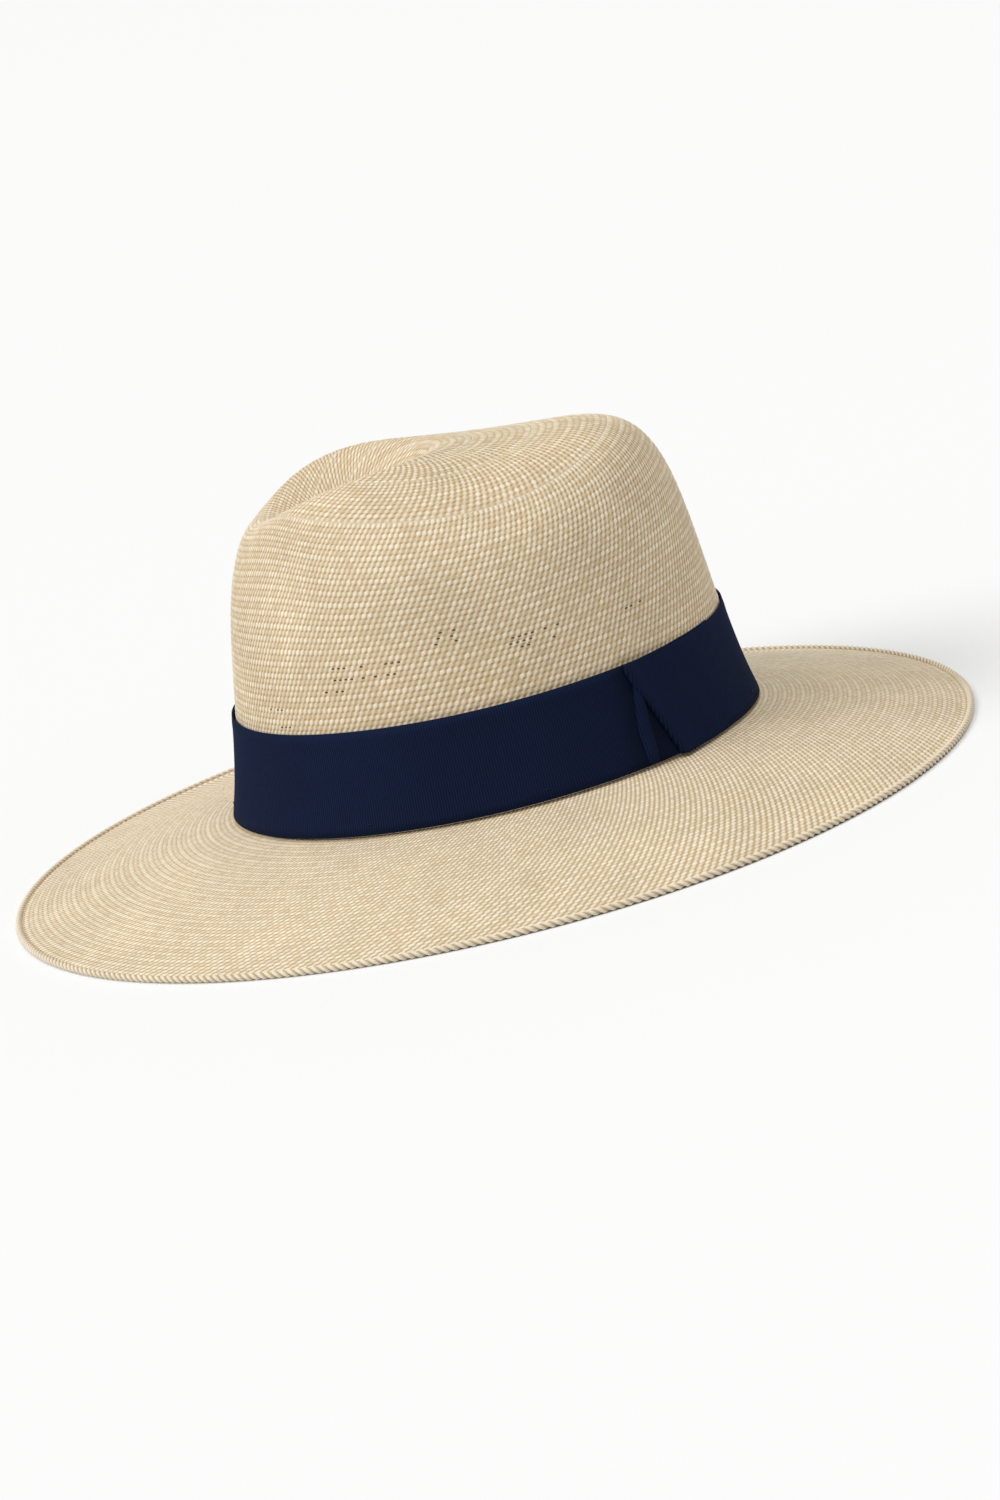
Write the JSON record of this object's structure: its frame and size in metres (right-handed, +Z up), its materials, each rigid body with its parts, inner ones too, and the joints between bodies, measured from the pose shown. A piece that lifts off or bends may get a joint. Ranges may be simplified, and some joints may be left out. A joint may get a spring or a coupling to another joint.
{
  "type": "straw fedora hat",
  "caption": "Wide-brim woven straw fedora with a pinched teardrop crown, a ribbon band folded over at the left and a sweatband inside.",
  "frame": {"origin": "on the surface that the hat stands on, under the middle of the brim", "axes": "+Z up through the crown, -Y to the front of the hat, +X to the wearer's left"},
  "size_m": [0.3414, 0.3754, 0.1417],
  "materials": {
    "woven_straw": "woven, satin",
    "straw_roll": "woven, satin",
    "navy_ribbon": "ribbed grosgrain",
    "navy_thread": "thread",
    "sweat_cloth": "matt cloth",
    "sweat_tape": "ribbed tape",
    "cream_thread": "thread",
    "label_cloth": "satin cloth"
  },
  "bodies": {
    "hat": {"straw_crown": "woven_straw", "straw_brim": "woven_straw", "brim_edge": "straw_roll", "hat_band": "navy_ribbon", "band_fold": "navy_ribbon", "band_tuck": "navy_ribbon", "band_tacks": "navy_thread", "sweatband": "sweat_cloth", "sweatband_joint": "sweat_tape", "sweatband_stitches": "cream_thread", "size_label": "label_cloth"},
    "brim_front": {"straw_brim_front": "woven_straw", "brim_edge_front": "straw_roll"}
  },
  "joints": [
    {"name": "brim_snap", "type": "hinge", "parent": "hat", "child": "brim_front", "pos_m": [0, -0.11, 0.01045], "axis": [1, 0, 0], "range_deg": [-35, 20], "stiffness_Nm_per_rad": 0.3}
  ]
}
